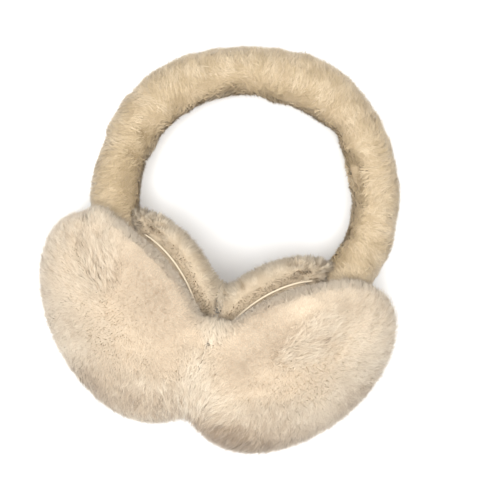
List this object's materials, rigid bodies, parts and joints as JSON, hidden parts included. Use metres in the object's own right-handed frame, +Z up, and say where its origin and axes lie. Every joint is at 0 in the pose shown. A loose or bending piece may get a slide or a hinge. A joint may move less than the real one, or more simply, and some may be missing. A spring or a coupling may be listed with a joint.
{
  "type": "fur earmuffs",
  "caption": "Earmuffs with a padded plush headband and a deep faux-fur muff at each end, lying on their back; each muff has an ear ring with an open hollow.",
  "frame": {"origin": "centre of the bounding box, on the table that the earmuffs lie on", "axes": "+Z up from the table, towards the front of the earmuffs as worn; +Y towards the crown of the headband; +X to the muff on the right as the front is looked at"},
  "size_m": [0.2094, 0.2262, 0.1016],
  "materials": {
    "fur": "deep cream faux fur",
    "plush": "short cream plush",
    "ring_plush": "short cream plush with gathers",
    "piping": "smooth pale cord"
  },
  "bodies": {
    "root": {"headband": "plush", "fur_pad_left": "fur", "fur_pad_right": "fur", "ear_ring_left": "ring_plush", "ear_ring_right": "ring_plush", "piping_left": "piping", "piping_right": "piping"}
  },
  "joints": []
}
